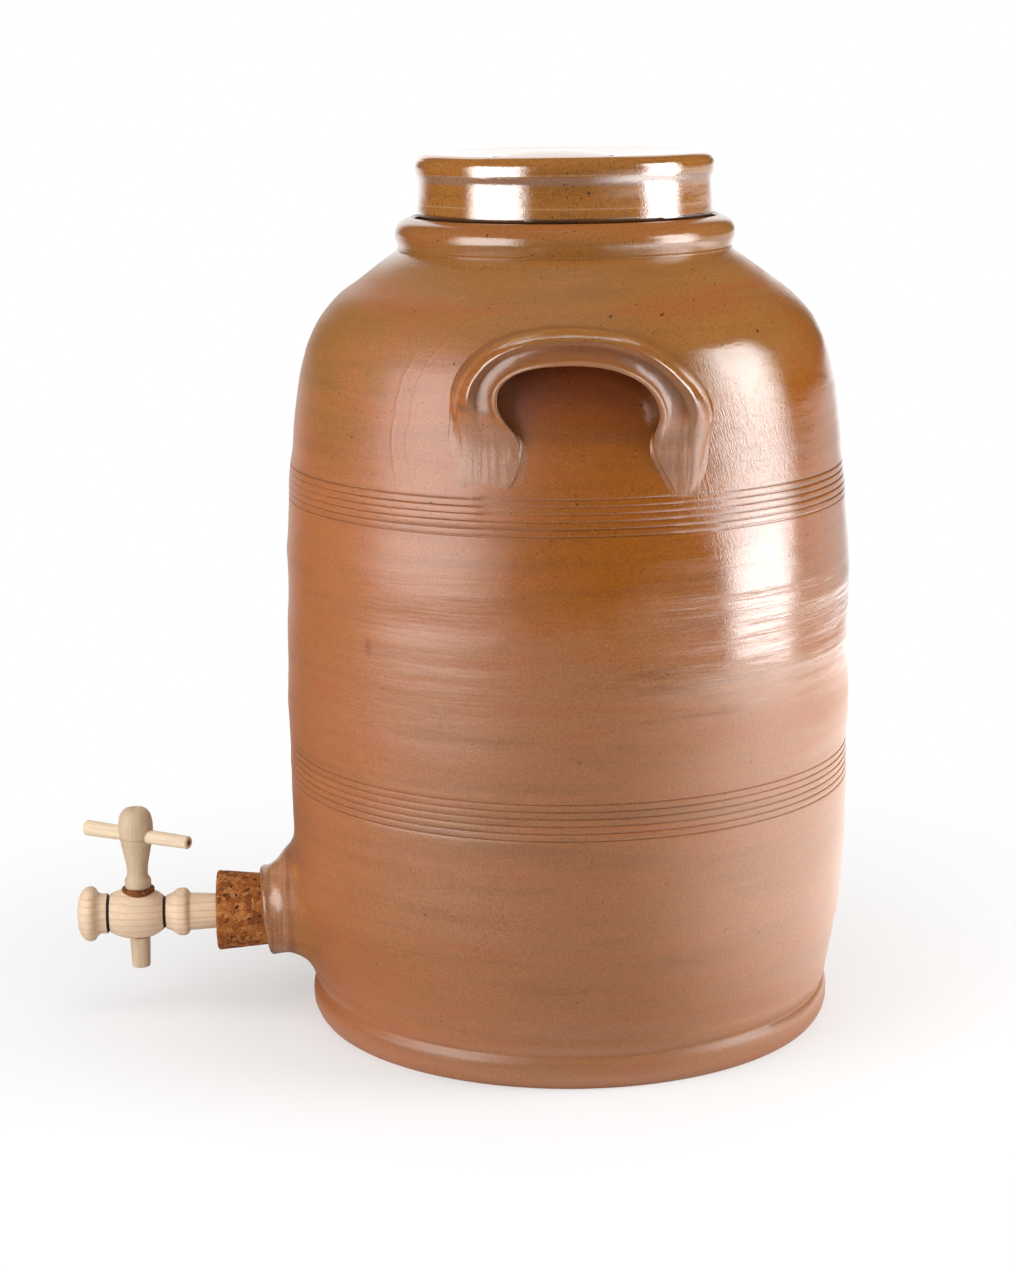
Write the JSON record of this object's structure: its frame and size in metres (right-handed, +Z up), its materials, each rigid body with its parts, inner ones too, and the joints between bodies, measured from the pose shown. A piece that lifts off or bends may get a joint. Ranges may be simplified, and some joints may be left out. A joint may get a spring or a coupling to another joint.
{
  "type": "stoneware water pot with tap",
  "caption": "Salt-glazed stoneware jar with a drop-in lid, ear-shaped lug handles, and a turned wooden tap held in a low boss by a bored cork bung.",
  "frame": {"origin": "centre of the foot, on the surface that the jar stands on", "axes": "+Z up the jar's axis; the tap points along -X; the lug handles are at -Y and +Y"},
  "size_m": [0.3471, 0.2622, 0.3826],
  "materials": {
    "glazed_stoneware": "salt-glazed stoneware, orange-brown with iron specks",
    "lug_stoneware": "salt-glazed stoneware, greyer where the feet were smeared on",
    "boss_stoneware": "thinly salt-glazed stoneware",
    "lid_stoneware": "glossy salt-glazed stoneware",
    "agglomerated_cork": "pressed cork granules",
    "turned_wood": "bare turned wood with burnt rings",
    "sleeve_cork": "thin cork sheet",
    "key_wood": "bare turned wood",
    "dowel_wood": "bare wooden dowel"
  },
  "bodies": {
    "crock": {"jar_body": "glazed_stoneware", "handle_front": "lug_stoneware", "handle_back": "lug_stoneware", "tap_boss": "boss_stoneware"},
    "lid": {"lid": "lid_stoneware", "lid_knob": "lid_stoneware"},
    "bung": {"cork_bung": "agglomerated_cork"},
    "tap": {"tap_barrel": "turned_wood", "key_cork_sleeve": "sleeve_cork"},
    "key": {"tap_key": "key_wood", "key_crossbar": "dowel_wood"}
  },
  "joints": [
    {"name": "lid_lift", "type": "slide", "parent": "crock", "child": "lid", "axis": [0, 0, 1], "range_m": [0, 0.15]},
    {"name": "bung_pull", "type": "slide", "parent": "crock", "child": "bung", "axis": [-1, 0, 0], "range_m": [0, 0.06]},
    {"name": "tap_pull", "type": "slide", "parent": "bung", "child": "tap", "axis": [-1, 0, 0], "range_m": [0, 0.075]},
    {"name": "key_turn", "type": "hinge", "parent": "tap", "child": "key", "pos_m": [-0.1954, 0, 0.0443], "axis": [0, 0, 1], "continuous": true}
  ]
}
